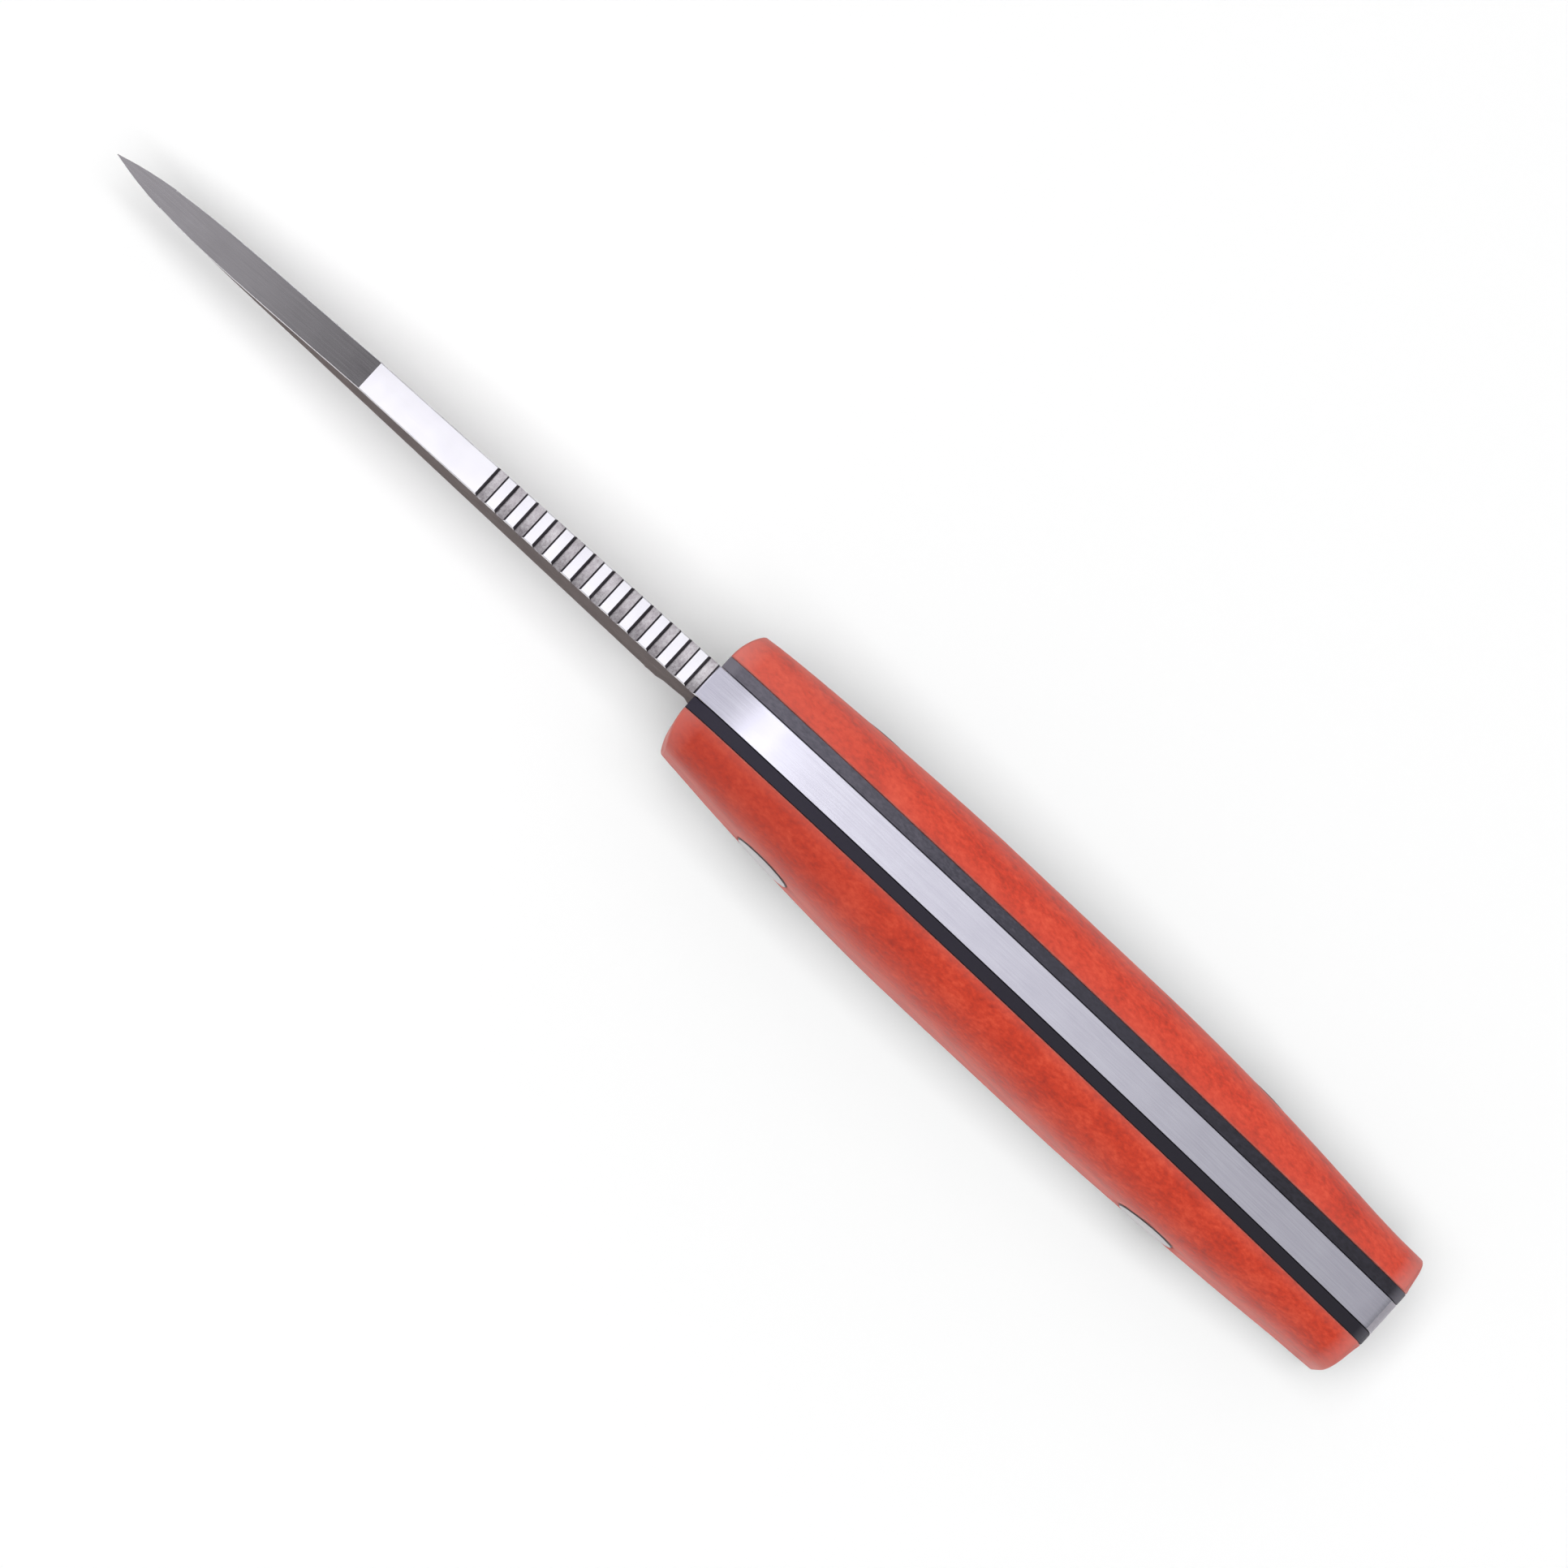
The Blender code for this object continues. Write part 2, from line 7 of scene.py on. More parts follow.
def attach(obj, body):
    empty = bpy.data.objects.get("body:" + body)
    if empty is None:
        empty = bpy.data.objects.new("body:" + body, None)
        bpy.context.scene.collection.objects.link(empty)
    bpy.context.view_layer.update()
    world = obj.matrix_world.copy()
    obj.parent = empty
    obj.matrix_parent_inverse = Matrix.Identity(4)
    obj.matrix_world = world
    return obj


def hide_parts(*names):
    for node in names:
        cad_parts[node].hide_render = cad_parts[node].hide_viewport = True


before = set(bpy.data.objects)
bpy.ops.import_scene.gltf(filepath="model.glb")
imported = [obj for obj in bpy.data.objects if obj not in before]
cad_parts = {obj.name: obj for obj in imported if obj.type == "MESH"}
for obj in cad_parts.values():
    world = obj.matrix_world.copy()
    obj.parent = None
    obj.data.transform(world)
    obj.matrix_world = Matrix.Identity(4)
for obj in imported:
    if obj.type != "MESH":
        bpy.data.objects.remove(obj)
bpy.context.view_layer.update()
MM = 0.001

# Lengths on the knife are in millimetres of the shared frame: X runs to the tip, Y to the left, Z up.
# Places along the knife, from the butt to the tip
BUTT = -88.25
HANDLE_FRONT = 7.75
TANG_REACH = 8.15
PLUNGE_START = 11.4
RICASSO_END = 12.6
PLUNGE_END = 14.4
HEEL = 16.0
NOTCHES_END = 38.75
CLIP_CORNER = 53.95
TIP_ROUNDED_TO = 82.0
TIP = 88.25

# The spine falls in a straight line from the handle to the clip
SPINE_HEIGHT = 27.88
SPINE_FALL = 0.13

# The grinds start at one level on both sides, below the flats, and the ricasso narrows to its lower edge
HEEL_HEIGHT = 13.0
GRIND_HEIGHT = 14.9
FLAT_TOP = 20.5
FLAT_HALF = 1.75
CLIP_HALF = 1.5
RICASSO_HALF = 1.5

# The cutting edge: level from the heel to the belly, which curves up to the tip
EDGE_HEIGHT = 2.9
BELLY_START = 49.75
TIP_RISE = 9.47
BELLY_FULLNESS = 2.2
HONED_HEIGHT = 0.7

# The scales begin beside the liners. Their outer corners are drawn in at both ends in the CAD model
SCALE_INNER = 3.5
FRONT_HALF = 7.75
FRONT_DRAWN_IN = 1.3
BUTT_HALF = 7.4
BUTT_DRAWN_IN = 1.5

# The front leans back by a share of each millimetre down, for what lies within some depth of it
FRONT_LEAN = 0.06
FRONT_DEPTH = 0.3

# The butt's outer corner: how far it stays drawn in and flares out, and the run over which both fade.
# The row of faces behind the butt's rim moves forward, to leave room for the rounding
BUTT_CORNER = 0.55
BUTT_FLARE = 0.5
CORNER_RUN = 9.0
RIM_ROW = (0.03, 0.15)
RIM_ROOM = 0.14

# Bolts and dowels, as X and Z of their axes, the reach of the bolts' pockets, and the bolts' heads
AXES = ((-9.35, 17.66), (-64.05, 13.27), (0.75, 19.79), (-75.25, 11.44))
BOLT_REACH = 4.2
HEAD_SEAT = 7.0
HEAD_RIM = 3.0
HEAD_PROUD = 0.12

# Rounded edges: their widths, and the angle from which an edge counts as sharp
BLADE_EDGE = 0.28
SCALE_EDGE = 0.16
LINER_EDGE = 0.08
BOLT_EDGE = 0.12
EDGE_STEPS = 3
SHARP_FROM = radians(32)

# Shares of the blade's edge width: a notch's rims on the tip's and the handle's side, spine and groove, and tang
TIP_RIM_SHARE = 1.0
HANDLE_RIM_SHARE = 0.75
SPINE_SHARE = 0.5
TANG_SHARE = 0.4

# Faces are told apart by how far their normals point: square to an axis, up, out of a flank, up from a rounded
# corner, away from level on a grind, forward on the spine and back on the butt
SQUARE_FROM = 0.9
UPWARD_FROM = 0.8
FLANK_FROM = 0.7
CORNER_FROM = 0.15
GRIND_FROM = 0.05
SPINE_LEAN = 0.35
BUTT_LEAN = 0.3

# And by their place: how near a line they are, how deep in a notch, and how near the butt
LINE_ROOM = 0.1
NOTCH_FROM = 0.12
BUTT_REACH = 2.0

# A copy of a CAD node merges vertices within this distance, in metres, and joins faces within this angle
MERGED_WITHIN = 0.000001
LEVEL_WITHIN = radians(0.2)

# Marks on steel, as lengths along X, Y and Z. The real ones are a few hundredths of a millimetre wide,
# too fine to show, so they are drawn as coarse as they need
SPINE_LINES = (5, 0.14, 5)
FLAT_LINES = (6, 3, 0.1)
GRIND_LINES = (0.1, 3, 6)
HONED_LINES = (0.1, 3, 3)
SAWN_MARKS = (0.3, 0.4, 0.4)
RUBBED_MARKS = (0.3, 0.3, 0.3)
TURNED_LINES = (3, 3, 0.1)
DRAWN_LINES = (0.1, 4, 0.1)
STEEL_CLOUDS = (4, 4, 4)
CLOUD_SHARE = 0.35
LINE_DETAIL = 3.0
BROAD_DETAIL = 2.0

# The painted shade on the tang, a darker tone that stands in for its darker reflection there, grows over its last
# stretch, up to this share
PAINTED_SHADE_RUN = 8.6
PAINTED_SHADE_SHARE = 0.52

# Glass-fibre laminate: bundles of cut fibres, and the patches and grain that they make, as lengths along X, Y
# and Z. Single fibres are too fine to show, so the bundles are drawn as coarse as they need
LAMINATE_IOR = 1.45
FIBRE_DETAIL = 4.0
SCALE_SPECKLE = (0.7, 0.45, 0.45)
SCALE_PATCHES = (4, 2.5, 2.5)
PATCH_SHARE = 0.4
SCALE_ROUGHNESS = (0.55, 0.75)
SCALE_RELIEF = 0.03
FUZZ_ROUGHNESS = 0.45
FUZZ_TONE = "#FFBEB8"
LINER_GRAIN = (0.6, 0.3, 0.3)
# The liners are painted paler towards the front, a painted highlight, from here on and with this share
LINER_PAINTED_LIGHT_FROM = -70.0
PAINTED_LIGHT_SHARE = 0.75
LINER_ROUGHNESS = (0.5, 0.65)
LINER_RELIEF = 0.015

# The handle's ends are painted paler, a painted highlight: where it fades, in from the front and from the butt, and
# its shares
SCALE_FRONT_PAINTED_PALE = (3.0, 0.6)
SCALE_BUTT_PAINTED_PALE = (1.0, 2.8)
LINER_FRONT_PAINTED_PALE = (1.8, 1.2)
LINER_BUTT_PAINTED_PALE = (0.5, 1.6)
SCALE_FRONT_SHARE = 0.5
BUTT_SHARE = 0.6

# Noise stays mostly between these two levels, and is rough to this share
NOISE_LOW = 0.3
NOISE_HIGH = 0.7
NOISE_ROUGHNESS = 0.6

# The Mix node's sockets share their names, so they are found by number
MIX_SHARE = 0
MIX_FLOATS = (2, 3)
MIX_COLOURS = (6, 7)
MIXED_FLOAT = 0
MIXED_COLOUR = 2

# Brightness of the studio's dome, from the horizon to overhead, by the height of the direction
DOME = ((0.0, 0.09), (0.755, 0.2), (0.85, 0.47), (0.92, 0.53), (0.956, 0.7), (0.978, 0.84), (1.0, 0.93))

# Lamps, as place and size in metres and power in watts, and the floor's size in metres
OVERHEAD_PANEL = ((0.157, 0.306, 2.98), (1.7, 1.7), 66.0)
TANG_CARD = ((-0.013, 0.075, 3.0), (0.184, 1.05), 0.68)
SPINE_CARD = ((0.793, 0.075, 3.0), (0.474, 1.05), 1.2)
LOW_CARD_SIZE = (2.4, 2.4)
LOW_CARD_POWER = 12.0
LOW_CARD_TURN = 45
RING_RADIUS = 3.0
RING_HEIGHT = 1.25
FLOOR_SIZE = 8.0

# The camera, in degrees and metres: its turn, the point it aims at, its distance and the width in view there
CAMERA_PITCH = 3.0
CAMERA_LEAN = 5.859
CAMERA_ROLL = 222.846
CAMERA_AIM = (-0.004983, 0.002534, 0.0284)
CAMERA_DISTANCE = 1.2
WIDTH_IN_VIEW = 0.159173
SENSOR_WIDTH = 36.0
NEAREST_SEEN = 0.01


def linear(hex_colour):
    """The linear colour, with full alpha, of an sRGB hex value."""
    levels = [int(hex_colour[place : place + 2], 16) / 255 for place in (1, 3, 5)]
    return [level / 12.92 if level <= 0.04045 else ((level + 0.055) / 1.055) ** 2.4 for level in levels] + [1.0]


def add_node(material, kind, settings=None, links=None):
    """Adds a node to a material, sets its properties and sockets, and links sockets to other nodes' outputs."""
    node = material.node_tree.nodes.new(kind)
    for name, value in (settings or {}).items():
        if isinstance(name, str) and hasattr(node, name):
            setattr(node, name, value)
        else:
            node.inputs[name].default_value = value
    for name, output in (links or {}).items():
        material.node_tree.links.new(output, node.inputs[name])
    return node


def start_material(name, settings):
    """A new material, its Principled shader with these sockets set, and its Object coordinates."""
    material = bpy.data.materials.new(name)
    material.use_nodes = True
    shader = material.node_tree.nodes["Principled BSDF"]
    for socket, value in settings.items():
        shader.inputs[socket].default_value = value
    place = add_node(material, "ShaderNodeTexCoord").outputs["Object"]
    return material, shader, place


def pattern(material, place, size, detail):
    """A noise factor whose patches have a size in millimetres along X, Y and Z."""
    stretch = {"Scale": [1 / (length * MM) for length in size]}
    where = add_node(material, "ShaderNodeMapping", stretch, {"Vector": place}).outputs["Vector"]
    settings = {"Scale": 1.0, "Detail": detail, "Roughness": NOISE_ROUGHNESS}
    return add_node(material, "ShaderNodeTexNoise", settings, {"Vector": where}).outputs["Fac"]


def fade(material, distance, start, end, values):
    """A factor that runs from one value to another while a distance runs between two lengths in millimetres."""
    spread = {"From Min": start * MM, "From Max": end * MM, "To Min": values[0], "To Max": values[1]}
    return add_node(material, "ShaderNodeMapRange", spread, {"Value": distance}).outputs["Result"]


def painted_pale_ends(material, along, end, front, butt, front_share):
    """The end tone, a painted highlight on the handle's ends, with its shares at the front and butt, for tint; front
    and butt say where it fades.
    """
    to_front = [HANDLE_FRONT - inset for inset in front]
    from_butt = [BUTT + inset for inset in butt]
    return (
        (end, fade(material, along, *to_front, (0.0, front_share))),
        (end, fade(material, along, *from_butt, (BUTT_SHARE, 0.0))),
    )


def tint(material, shader, patterns, broad_share, tones, painted_tones=()):
    """Colours the shader with three tones, dark to light, under tones of painted light and shade by their shares.

    The three follow a fine pattern, with a share of a broad one.
    """
    settings = {"data_type": "FLOAT", MIX_SHARE: broad_share}
    mixed = add_node(material, "ShaderNodeMix", settings, dict(zip(MIX_FLOATS, patterns))).outputs[MIXED_FLOAT]
    ramp = add_node(material, "ShaderNodeValToRGB", links={"Fac": mixed})
    stops = ramp.color_ramp.elements
    middle = (NOISE_LOW + NOISE_HIGH) / 2
    stops.new(middle)
    for stop, position, tone in zip(stops, (NOISE_LOW, middle, NOISE_HIGH), tones):
        stop.position = position
        stop.color = linear(tone)
    colour = ramp.outputs["Color"]
    for tone, share in painted_tones:
        settings = {"data_type": "RGBA", MIX_COLOURS[1]: linear(tone)}
        links = {MIX_SHARE: share, MIX_COLOURS[0]: colour}
        colour = add_node(material, "ShaderNodeMix", settings, links).outputs[MIXED_COLOUR]
    material.node_tree.links.new(colour, shader.inputs["Base Color"])


def roughen(material, shader, factor, roughness, depth):
    """Varies the roughness over a factor, and raises the factor as relief of a depth in millimetres."""
    spread = {"From Min": NOISE_LOW, "From Max": NOISE_HIGH, "To Min": roughness[0], "To Max": roughness[1]}
    rough = add_node(material, "ShaderNodeMapRange", spread, {"Value": factor}).outputs["Result"]
    relief = {"Strength": 1.0, "Distance": depth * MM}
    bump = add_node(material, "ShaderNodeBump", relief, {"Height": factor}).outputs["Normal"]
    material.node_tree.links.new(rough, shader.inputs["Roughness"])
    material.node_tree.links.new(bump, shader.inputs["Normal"])


def abraded_steel(name, tones, roughness, marks, depth, grazing="#FFFFFF", painted_shade=None):
    """Steel finished with an abrasive: fine marks over soft cloudy tones, which draw its reflections out.

    The grazing tone is what it reflects at a low angle. A painted shade is a darker tone that grows up to the handle's
    front, standing in for a darker reflection there.
    """
    material, shader, place = start_material(name, {"Metallic": 1.0, "Specular Tint": linear(grazing)})
    lines = pattern(material, place, marks, LINE_DETAIL)
    clouds = pattern(material, place, STEEL_CLOUDS, BROAD_DETAIL)
    painted_tones = ()
    # A painted shade: the tone grows darker towards the handle's front
    if painted_shade:
        along = add_node(material, "ShaderNodeSeparateXYZ", links={"Vector": place}).outputs["X"]
        painted_tones = ((painted_shade, fade(material, along, HANDLE_FRONT - PAINTED_SHADE_RUN, HANDLE_FRONT, (0.0, PAINTED_SHADE_SHARE))),)
    tint(material, shader, (lines, clouds), CLOUD_SHARE, tones, painted_tones)
    roughen(material, shader, lines, roughness, depth)
    return material


def blasted_laminate(name, tones, sheen, end, front, inner):
    """Orange glass-fibre laminate, bead blasted: matte, mottled by cut fibres that also fuzz its edges.

    It is painted to the end tone at both ends, a painted highlight, and to the other two tones towards the front and
    the inner edge, painted light and shade; each of those comes with its reach in millimetres and its share.
    """
    fuzz = {"Sheen Weight": sheen, "Sheen Roughness": FUZZ_ROUGHNESS, "Sheen Tint": linear(FUZZ_TONE)}
    material, shader, place = start_material(name, {"IOR": LAMINATE_IOR, **fuzz})
    speckle = pattern(material, place, SCALE_SPECKLE, FIBRE_DETAIL)
    patches = pattern(material, place, SCALE_PATCHES, BROAD_DETAIL)
    axes = add_node(material, "ShaderNodeSeparateXYZ", links={"Vector": place}).outputs
    along = axes["X"]
    outward = add_node(material, "ShaderNodeMath", {"operation": "ABSOLUTE"}, {0: axes["Y"]}).outputs["Value"]
    # Painted light and shade towards the front and the inner edge, and a painted highlight at both ends
    painted_tones = (
        (front[0], fade(material, along, HANDLE_FRONT - front[1], HANDLE_FRONT, (0.0, front[2]))),
        (inner[0], fade(material, outward, SCALE_INNER, SCALE_INNER + inner[1], (inner[2], 0.0))),
        *painted_pale_ends(material, along, end, SCALE_FRONT_PAINTED_PALE, SCALE_BUTT_PAINTED_PALE, SCALE_FRONT_SHARE),
    )
    tint(material, shader, (speckle, patches), PATCH_SHARE, tones, painted_tones)
    roughen(material, shader, speckle, SCALE_ROUGHNESS, SCALE_RELIEF)
    return material


def sanded_laminate(name, tones, end, front_share):
    """Near-black glass-fibre laminate, sanded flush: dull, and painted paler towards the front and at the ends, a
    painted highlight.
    """
    material, shader, place = start_material(name, {"IOR": LAMINATE_IOR})
    grain = pattern(material, place, LINER_GRAIN, FIBRE_DETAIL)
    along = add_node(material, "ShaderNodeSeparateXYZ", links={"Vector": place}).outputs["X"]
    # Paler towards the front: a painted highlight
    painted_highlight = fade(material, along, LINER_PAINTED_LIGHT_FROM, HANDLE_FRONT, (NOISE_LOW, NOISE_HIGH))
    painted_tones = painted_pale_ends(material, along, end, LINER_FRONT_PAINTED_PALE, LINER_BUTT_PAINTED_PALE, front_share)
    tint(material, shader, (grain, painted_highlight), PAINTED_LIGHT_SHARE, tones, painted_tones)
    roughen(material, shader, grain, LINER_ROUGHNESS, LINER_RELIEF)
    return material


def copy_node(node, name):
    """A merged copy of a CAD node, selected alone, that stands for the node and rides with it."""
    bpy.ops.object.select_all(action="DESELECT")
    piece = bpy.data.objects.new(name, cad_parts[node].data.copy())
    bpy.context.scene.collection.objects.link(piece)
    piece.data.materials.clear()
    bpy.context.view_layer.objects.active = piece
    piece.select_set(True)
    bpy.ops.object.mode_set(mode="EDIT")
    bpy.ops.mesh.select_all(action="SELECT")
    bpy.ops.mesh.remove_doubles(threshold=MERGED_WITHIN)
    bpy.ops.mesh.dissolve_limited(angle_limit=LEVEL_WITHIN)
    bpy.ops.object.mode_set(mode="OBJECT")
    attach(piece, "root")
    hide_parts(node)
    return piece


def weigh_edges(mesh, share):
    """Gives each sharp edge the share of rounding that its middle and its two faces' normals ask for."""
    sides = {}
    for face in mesh.polygons:
        for key in face.edge_keys:
            sides.setdefault(key, []).append(face.normal.copy())
    weights = mesh.attributes.new("bevel_weight_edge", "FLOAT", "EDGE")
    for edge in mesh.edges:
        first, second = sides[edge.key]
        start, end = (mesh.vertices[index].co for index in edge.vertices)
        if first.angle(second) > SHARP_FROM:
            weights.data[edge.index].value = share((start + end) / 2 / MM, (first, second))


def round_edges(piece, width, share):
    """Rounds edges to shares of a width in millimetres; the new faces take the piece's last material."""
    weigh_edges(piece.data, share)
    modifier = piece.modifiers.new("rounded_edges", "BEVEL")
    modifier.limit_method = "WEIGHT"
    modifier.width = width * MM
    modifier.segments = EDGE_STEPS
    modifier.use_clamp_overlap = False
    modifier.loop_slide = False
    modifier.material = len(piece.data.materials) - 1
    bpy.ops.object.modifier_apply(modifier=modifier.name)


def shade(piece):
    """Shades curved faces round and flat faces level, with a crisp line where two finishes meet."""
    finishes = {}
    for face in piece.data.polygons:
        for key in face.edge_keys:
            finishes.setdefault(key, set()).add(face.material_index)
    for edge in piece.data.edges:
        edge.use_edge_sharp = len(finishes[edge.key]) > 1
    bpy.ops.object.shade_smooth_by_angle(angle=SHARP_FROM)
    level_flats = piece.modifiers.new("level_flats", "WEIGHTED_NORMAL")
    level_flats.keep_sharp = True
    bpy.ops.object.modifier_apply(modifier=level_flats.name)


def off_axis(middle):
    """Distance of a place from the nearest bolt's or dowel's axis, seen from the side."""
    return min(((middle.x - x) ** 2 + (middle.z - z) ** 2) ** 0.5 for x, z in AXES)


def below_spine(middle):
    """How far a place on the blade lies below the spine's straight line."""
    return SPINE_HEIGHT - SPINE_FALL * (middle.x - HANDLE_FRONT) - middle.z


def above_edge(middle):
    """How far a place on the blade lies above the cutting edge."""
    share = max(0.0, (middle.x - BELLY_START) / (TIP - BELLY_START))
    return middle.z - EDGE_HEIGHT - TIP_RISE * share**BELLY_FULLNESS


def blade_rounding(middle, normals):
    """Rims of the thumb notches, wider on their tip side, and the long edges of spine, clip, tang and groove."""
    level = max(normal.z for normal in normals)
    along = max(normals, key=lambda normal: abs(normal.x)).x
    sideways = max(abs(normal.y) for normal in normals) > SQUARE_FROM
    if middle.x < HANDLE_FRONT:
        return TANG_SHARE if sideways and off_axis(middle) > BOLT_REACH else 0.0
    if middle.x < CLIP_CORNER and below_spine(middle) > LINE_ROOM:
        return SPINE_SHARE if middle.x < PLUNGE_START and sideways and middle.z < HEEL_HEIGHT else 0.0
    if middle.x < CLIP_CORNER and abs(along) > SQUARE_FROM:
        return TIP_RIM_SHARE if along < 0 else HANDLE_RIM_SHARE
    return SPINE_SHARE if level > UPWARD_FROM and middle.x < TIP_ROUNDED_TO else 0.0


def handle_rounding(middle, normals):
    """Every sharp edge of a scale or liner, apart from its holes and pockets."""
    return 0.0 if off_axis(middle) < BOLT_REACH else 1.0


def head_rounding(middle, normals):
    """The rim of a bolt's head."""
    return 1.0 if abs(middle.y) > HEAD_SEAT and off_axis(middle) > HEAD_RIM else 0.0


def blade_steels():
    """The blade's finishes, in the order of the numbers that blade_finish gives."""
    return (
        # 0 and 1: polished lengthways, bright and nearly a mirror; the clip is a little greyer
        abraded_steel("polished_spine_steel", ("#DAD8E2", "#E4E2EA", "#ECEBF2"), (0.14, 0.2), SPINE_LINES, 0.0005),
        abraded_steel("ground_clip_steel", ("#C0BCC2", "#C8C4CA", "#D0CCD2"), (0.12, 0.18), SPINE_LINES, 0.0005),
        # 2 and 3: satin, rubbed lengthways on the flats and upwards on the grinds, so they catch light differently.
        #          The flats' darker brownish tones and dark grazing tone are a painted reflection of dark surroundings
        abraded_steel(
            "satin_flat_steel", ("#8C8482", "#A09896", "#B4ACAA"), (0.26, 0.36), FLAT_LINES, 0.002, grazing="#787070"
        ),
        abraded_steel("ground_bevel_steel", ("#A8A4A8", "#BCB8BC", "#CCC8CC"), (0.22, 0.3), GRIND_LINES, 0.002),
        # 4: honed on a fine stone, the brightest line on the side
        abraded_steel("honed_edge_steel", ("#C8C6CA", "#DAD8DC", "#E8E6EA"), (0.1, 0.16), HONED_LINES, 0.001),
        # 5 and 6: left from the saw, mottled in the notches; their walls and rims are painted near-black, a painted
        #          shade
        abraded_steel("sawn_notch_steel", ("#9C949C", "#C8C2C8", "#F0ECF2"), (0.22, 0.34), SAWN_MARKS, 0.01),
        abraded_steel("notch_rim_painted_shade_steel", ("#3A363C", "#4A464C", "#5C585E"), (0.4, 0.5), SAWN_MARKS, 0.01),
        # 7: rubbed dull by use
        abraded_steel("rubbed_butt_steel", ("#A8A4AC", "#B4B0B8", "#C0BCC4"), (0.5, 0.6), RUBBED_MARKS, 0.002),
        # 8: brushed lengthways, bright with a cool cast, and painted darker beside the blade, a painted shade for its
        #    darker reflection there
        abraded_steel(
            "brushed_tang_steel", ("#DAD8E8", "#E4E2F1", "#ECEBF9"), (0.14, 0.2), SPINE_LINES, 0.0005, painted_shade="#8E8C9C"
        ),
    )


def flank_finish(middle, normal):
    """Which finish a face on the blade's side has: 2 flats, 3 grinds, 4 sharpened edge and rounded corners."""
    if normal.z > CORNER_FROM or (middle.x > HEEL and above_edge(middle) < HONED_HEIGHT):
        return 4
    turned = (normal.x**2 + normal.z**2) ** 0.5
    return 2 if turned < GRIND_FROM or HANDLE_FRONT < middle.x < PLUNGE_END else 3


def blade_finish(face):
    """Which finish a face has: 0 spine, 1 clip, 2 to 4 flanks, 5 notches, 6 their rims, 7 butt, 8 tang."""
    middle, normal = face.center / MM, face.normal
    if abs(normal.y) > FLANK_FROM:
        return flank_finish(middle, normal)
    if normal.z < 0 or middle.x > CLIP_CORNER:
        return 3 if normal.z < 0 else 1
    leans_like_spine = 0 < normal.x < SPINE_LEAN
    if middle.x < HANDLE_FRONT or (middle.x < TANG_REACH and leans_like_spine):
        return 7 if middle.x < BUTT + BUTT_REACH and normal.x < -BUTT_LEAN else 8
    if middle.x < NOTCHES_END and not leans_like_spine:
        return 6
    return 5 if middle.x < NOTCHES_END and below_spine(middle) > NOTCH_FROM else 0


def lower_grind(blade):
    """Brings the line where the grinds start down to one level, but not above the clip near the tip."""
    tops = {}
    for vertex in blade.data.vertices:
        station = round(vertex.co.x / MM, 1)
        tops[station] = max(tops.get(station, 0.0), vertex.co.z / MM)
    for vertex in blade.data.vertices:
        x, y, z = (length / MM for length in vertex.co)
        on_clip = x > CLIP_CORNER
        top = min(FLAT_TOP, tops[round(x, 1)] - LINE_ROOM) if on_clip else FLAT_TOP
        half = CLIP_HALF if on_clip else FLAT_HALF
        if x > PLUNGE_START and abs(y) > half and HEEL_HEIGHT < z < top:
            vertex.co.z = (min(z, GRIND_HEIGHT) if on_clip else GRIND_HEIGHT) * MM


def narrow_ricasso(blade):
    """Narrows the ricasso to its lower edge."""
    for vertex in blade.data.vertices:
        x, y, z = (length / MM for length in vertex.co)
        if HANDLE_FRONT - LINE_ROOM < x < RICASSO_END and z < HEEL_HEIGHT:
            vertex.co.y = max(-RICASSO_HALF, min(RICASSO_HALF, y)) * MM


def make_blade():
    """Blade, ricasso and tang, in one piece of steel with a finish for each way it was worked."""
    blade = copy_node("blade", "satin_blade")
    lower_grind(blade)
    narrow_ricasso(blade)
    round_edges(blade, BLADE_EDGE, blade_rounding)
    for steel in blade_steels():
        blade.data.materials.append(steel)
    for face in blade.data.polygons:
        face.material_index = blade_finish(face)
    shade(blade)


def outward_share(vertex, half):
    """How far out a vertex lies between the liner and the outside of a scale, from 0 to 1."""
    return min(max((abs(vertex.co.y) / MM - SCALE_INNER) / (half - SCALE_INNER), 0.0), 1.0)


def lean_front(piece):
    """Leans the front end of a scale or liner back, so that it drops away out of sight from above."""
    for vertex in piece.data.vertices:
        drawn_in = FRONT_DRAWN_IN * outward_share(vertex, FRONT_HALF) ** 2
        if vertex.co.x / MM + drawn_in > HANDLE_FRONT - FRONT_DEPTH:
            vertex.co.x -= FRONT_LEAN * (SPINE_HEIGHT * MM - vertex.co.z)


def square_butt(scale):
    """Brings the outer corner of a scale's butt out to a point, and clears its rim's narrow row for the rounding."""
    for vertex in scale.data.vertices:
        outward = outward_share(vertex, BUTT_HALF)
        inset = vertex.co.x / MM - BUTT - BUTT_DRAWN_IN * outward**2
        if RIM_ROW[0] < inset < RIM_ROW[1]:
            vertex.co.x += RIM_ROOM * MM
        near = max(0.0, 1 - (vertex.co.x / MM - BUTT) / CORNER_RUN)
        wanted = BUTT_CORNER * (2 - outward) * outward
        vertex.co.x += (wanted - BUTT_DRAWN_IN * outward**2) * near * MM
        flare = BUTT_FLARE * (near * outward) ** 2 * MM
        vertex.co.y += flare if vertex.co.y > 0 else -flare


def make_scale(hand, skin, painted_highlight):
    """One scale, its edges painted paler than its sides, a painted highlight. It sheds no orange light, so that the
    floor stays neutral.
    """
    scale = copy_node(hand + "_scale", hand + "_handle_scale")
    scale.data.materials.append(skin)
    scale.data.materials.append(painted_highlight)
    lean_front(scale)
    square_butt(scale)
    round_edges(scale, SCALE_EDGE, handle_rounding)
    shade(scale)
    scale.visible_diffuse = False


def make_liner(hand, skin):
    """One liner, its edges only just broken."""
    liner = copy_node(hand + "_liner", hand + "_handle_liner")
    liner.data.materials.append(skin)
    lean_front(liner)
    round_edges(liner, LINER_EDGE, handle_rounding)
    shade(liner)


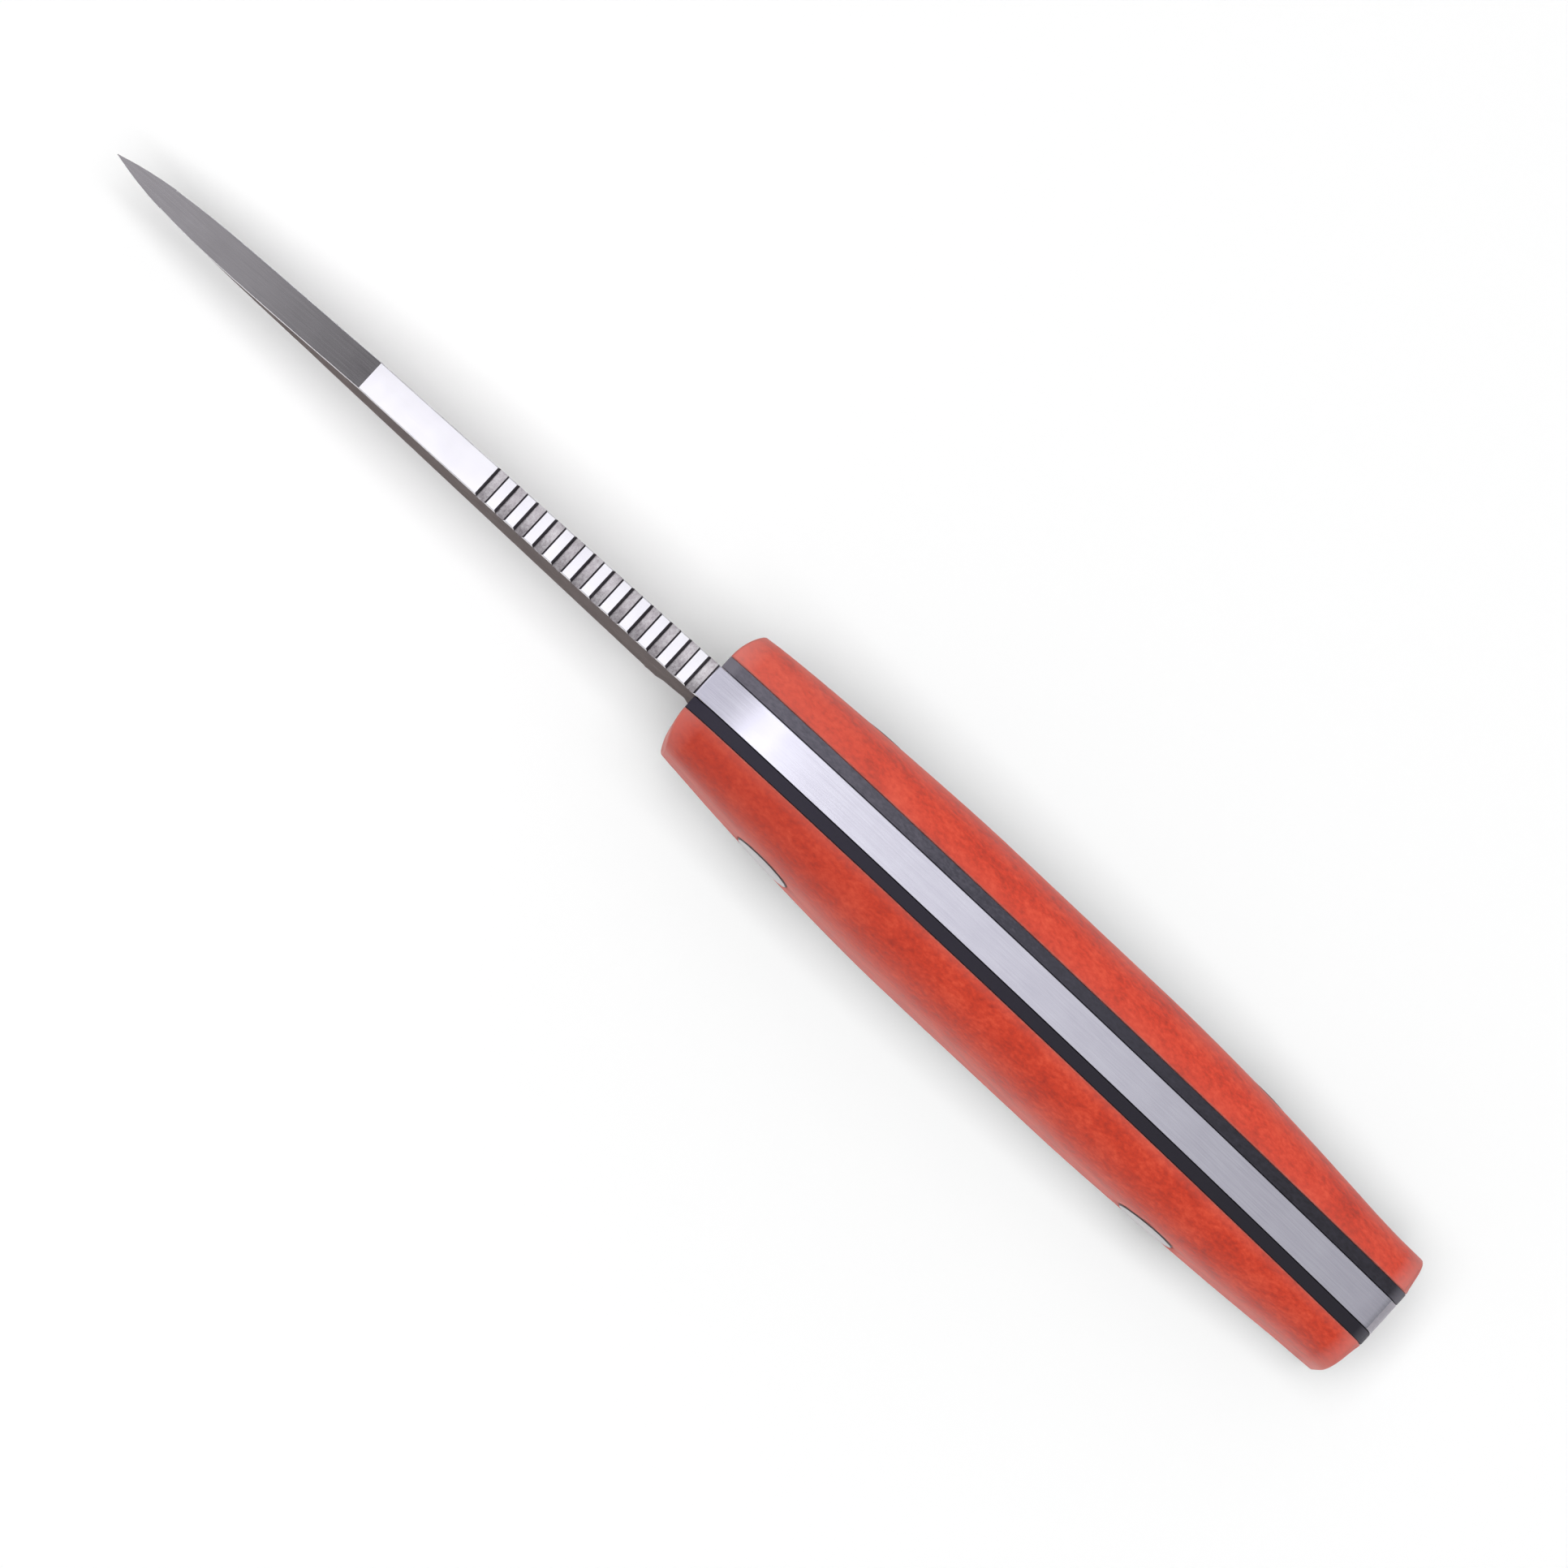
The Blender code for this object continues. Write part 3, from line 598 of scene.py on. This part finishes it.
def make_handle():
    """Two scales and two liners; the right ones are painted paler than the left ones: painted light on the right,
    painted shade on the left.
    """
    # Left scale: painted darker all over and darker still towards the front, a painted shade, and pink along its inner
    # edge, a painted sheen
    left_skin = blasted_laminate(
        "blasted_orange_laminate_painted_shaded", ("#A02614", "#C8381E", "#DE5236"), 0.3, "#D47A72",
        ("#96342A", 40.0, 0.42), ("#D07468", 1.2, 0.25),
    )
    # Right scale: painted brighter, painted light, with a pink front, a painted highlight, and a darker pink inner
    # edge, a painted shade
    right_skin = blasted_laminate(
        "blasted_orange_laminate_painted_lit", ("#B42C18", "#E04229", "#F25C40"), 0.15, "#DC8880",
        ("#D8847A", 28.0, 0.25), ("#B8584C", 3.2, 0.35),
    )
    # The scales' rounded edges: painted paler and pinker, a painted highlight
    painted_highlight = blasted_laminate(
        "orange_laminate_painted_highlight", ("#A83E32", "#BC5548", "#CC6C60"), 0.3, "#D47A72",
        ("#B86A60", 10.0, 0.3), ("#B86A60", 1.0, 0.2),
    )
    make_scale("left", left_skin, painted_highlight)
    make_scale("right", right_skin, painted_highlight)
    # Liners: their ends painted paler, a painted highlight; the right one painted lighter towards its front, a painted
    # reflection of the light
    make_liner("left", sanded_laminate("sanded_black_laminate", ("#16131D", "#1F1B28", "#292534"), "#5C5A62", 0.0))
    make_liner("right", sanded_laminate("sanded_black_laminate_painted_lit", ("#17141D", "#3A3843", "#6C6874"), "#77737D", 0.6))


def raise_head(bolt):
    """Lifts a bolt's head a little above the scale, so that its rim catches the light."""
    for vertex in bolt.data.vertices:
        if abs(vertex.co.y) > HEAD_SEAT * MM:
            vertex.co.y += (HEAD_PROUD if vertex.co.y > 0 else -HEAD_PROUD) * MM


def make_bolts():
    """Bolts with satin heads whose rims are painted dark, a painted shade, and plain dowels, which keep their CAD
    shape out of sight.
    """
    turned = abraded_steel("flushed_bolt_steel", ("#A8A4A6", "#B8B4B6", "#C8C4C6"), (0.3, 0.4), TURNED_LINES, 0.002)
    # The rim of each head is painted dark: a painted shade
    rim = abraded_steel("bolt_rim_painted_shade_steel", ("#4A4446", "#585254", "#666062"), (0.4, 0.5), RUBBED_MARKS, 0.002)
    drawn = abraded_steel("drawn_dowel_steel", ("#B0AEB2", "#C4C2C6", "#D4D2D6"), (0.25, 0.35), DRAWN_LINES, 0.002)
    for place in ("front", "rear"):
        for half in ("barrel", "screw"):
            bolt = copy_node(f"{place}_bolt_{half}", f"{place}_handle_bolt_{half}")
            bolt.data.materials.append(turned)
            bolt.data.materials.append(rim)
            raise_head(bolt)
            round_edges(bolt, BOLT_EDGE, head_rounding)
            shade(bolt)
        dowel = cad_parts[place + "_dowel"]
        dowel.data.materials.clear()
        dowel.data.materials.append(drawn)


def make_floor():
    """A plain white table top."""
    bpy.ops.object.select_all(action="DESELECT")
    bpy.ops.mesh.primitive_plane_add(size=FLOOR_SIZE)
    floor = bpy.context.object
    floor.name = "floor"
    material, shader, _ = start_material("white_table", {"Roughness": 0.9, "Specular IOR Level": 0.0})
    shader.inputs["Base Color"].default_value = linear("#FFFFFF")
    floor.data.materials.append(material)


def make_dome():
    """A studio dome that darkens towards the horizon."""
    world = bpy.data.worlds.new("studio")
    world.use_nodes = True
    bpy.context.scene.world = world
    direction = add_node(world, "ShaderNodeTexCoord").outputs["Generated"]
    height = add_node(world, "ShaderNodeSeparateXYZ", links={"Vector": direction}).outputs["Z"]
    dome = add_node(world, "ShaderNodeValToRGB", links={"Fac": height})
    for position, _ in DOME[1:-1]:
        dome.color_ramp.elements.new(position)
    for stop, (_, level) in zip(dome.color_ramp.elements, DOME):
        stop.color = (level, level, level, 1.0)
    background = world.node_tree.nodes["Background"]
    background.inputs["Color"].default_value = linear("#FFFFFF")
    world.node_tree.links.new(dome.outputs["Color"], background.inputs["Strength"])


def looking_from(back, place, roll=0.0):
    """Where a lamp or camera stands and looks: against a direction, with the knife's length across it, then rolled."""
    along = (Vector((1.0, 0.0, 0.0)) - back * back.x).normalized()
    across = cos(roll) * along + sin(roll) * back.cross(along)
    turn = Matrix((across, back.cross(across), back)).transposed().to_4x4()
    return Matrix.Translation(place) @ turn


def add_panel(name, middle, size, power):
    """A soft rectangular lamp that faces the knife."""
    lamp = bpy.data.lights.new(name, "AREA")
    lamp.shape = "RECTANGLE"
    lamp.size, lamp.size_y = size
    lamp.energy = power
    panel = bpy.data.objects.new(name, lamp)
    panel.matrix_world = looking_from(Vector(middle).normalized(), middle)
    bpy.context.scene.collection.objects.link(panel)
    return panel


def light_studio():
    """A dome, a panel overhead, and cards for the steel to reflect.

    Steel doesn't reflect the panel, and the ring of low cards shows only in reflections.
    """
    make_dome()
    panel = add_panel("overhead_panel", *OVERHEAD_PANEL)
    panel.visible_glossy = False
    add_panel("tang_card", *TANG_CARD)
    add_panel("spine_card", *SPINE_CARD)
    for turn in range(0, 360, LOW_CARD_TURN):
        middle = (RING_RADIUS * cos(radians(turn)), RING_RADIUS * sin(radians(turn)), RING_HEIGHT)
        card = add_panel(f"low_card_{turn}", middle, LOW_CARD_SIZE, LOW_CARD_POWER)
        card.visible_diffuse = card.visible_camera = False


def make_camera():
    """Looks down on the spine, leaning to the knife's left, turned so that the tip is at the upper left."""
    pitch, lean, roll = radians(CAMERA_PITCH), radians(CAMERA_LEAN), radians(CAMERA_ROLL)
    back = Vector((sin(pitch), sin(lean) * cos(pitch), cos(lean) * cos(pitch))).normalized()
    lens = bpy.data.cameras.new("camera")
    lens.sensor_width = SENSOR_WIDTH
    lens.lens = SENSOR_WIDTH * CAMERA_DISTANCE / WIDTH_IN_VIEW
    lens.clip_start = NEAREST_SEEN
    camera = bpy.data.objects.new("camera", lens)
    camera.matrix_world = looking_from(back, Vector(CAMERA_AIM) + back * CAMERA_DISTANCE, roll)
    bpy.context.scene.collection.objects.link(camera)
    bpy.context.scene.camera = camera


bpy.context.scene.view_settings.view_transform = "Standard"
make_blade()
make_handle()
make_bolts()
make_floor()
light_studio()
make_camera()
